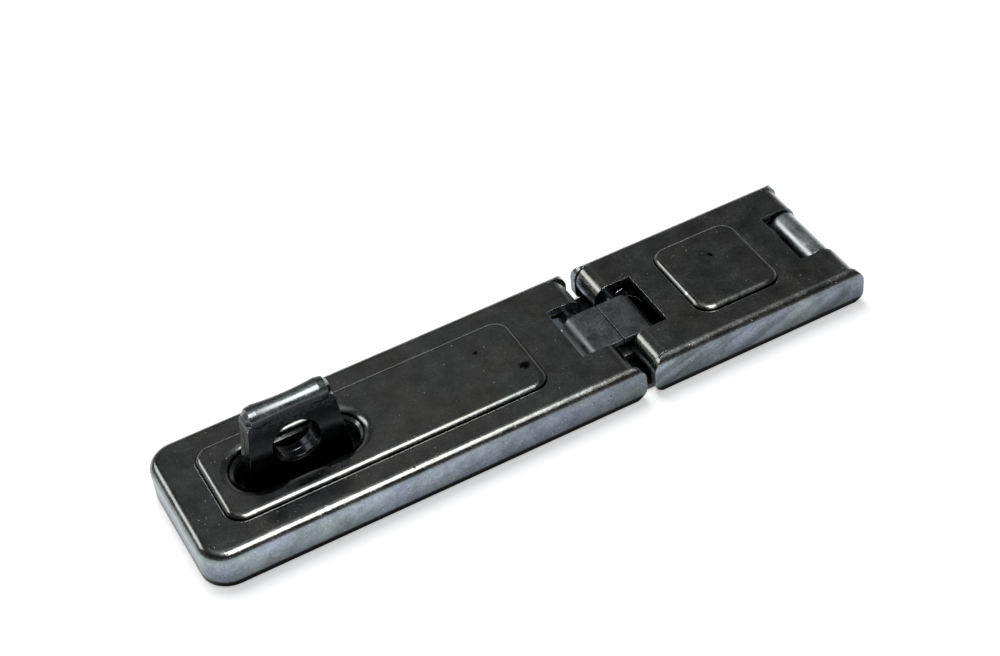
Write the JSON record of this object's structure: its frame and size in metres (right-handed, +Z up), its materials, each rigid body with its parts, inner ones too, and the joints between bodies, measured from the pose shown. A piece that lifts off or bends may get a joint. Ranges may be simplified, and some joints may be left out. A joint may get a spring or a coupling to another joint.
{
  "type": "chest hasp",
  "caption": "Double-jointed pressed-steel chest hasp, closed over its padlock staple, with raised panels, rolled hinge eyes and a folded staple eye.",
  "frame": {"origin": "on the mounting surface, midway between the two ends and between the two side walls", "axes": "+X along the hasp from the long leaf's free end to the fixed hinge, +Z up from the mounting surface"},
  "size_m": [0.12, 0.028, 0.0205],
  "materials": {
    "plated_leaf": "bright zinc plate over pressed sheet steel, glossy with small dings",
    "plated_link": "bright zinc plate over rolled strip",
    "plated_plate": "bright zinc plate, satin",
    "plated_staple": "zinc plate over folded strip, scuffed on its face",
    "pin_steel": "bright drawn wire"
  },
  "bodies": {
    "fixed_side": {"frame_plate": "plated_plate", "staple_plate": "plated_plate", "staple": "plated_staple"},
    "short_leaf_body": {"short_leaf": "plated_leaf", "frame_pin": "pin_steel", "short_leaf_pin": "pin_steel"},
    "link_body": {"link": "plated_link"},
    "long_leaf_body": {"long_leaf": "plated_leaf", "long_leaf_pin": "pin_steel"}
  },
  "joints": [
    {"name": "fixed_hinge", "type": "hinge", "parent": "fixed_side", "child": "short_leaf_body", "pos_m": [0.05672, 0, 0.00435], "axis": [0, 1, 0], "range_deg": [0, 175]},
    {"name": "near_link_hinge", "type": "hinge", "parent": "short_leaf_body", "child": "link_body", "pos_m": [0.02212, 0, 0.00435], "axis": [0, 1, 0], "range_deg": [0, 90]},
    {"name": "far_link_hinge", "type": "hinge", "parent": "link_body", "child": "long_leaf_body", "pos_m": [0.01392, 0, 0.00435], "axis": [0, 1, 0], "range_deg": [0, 90]}
  ]
}
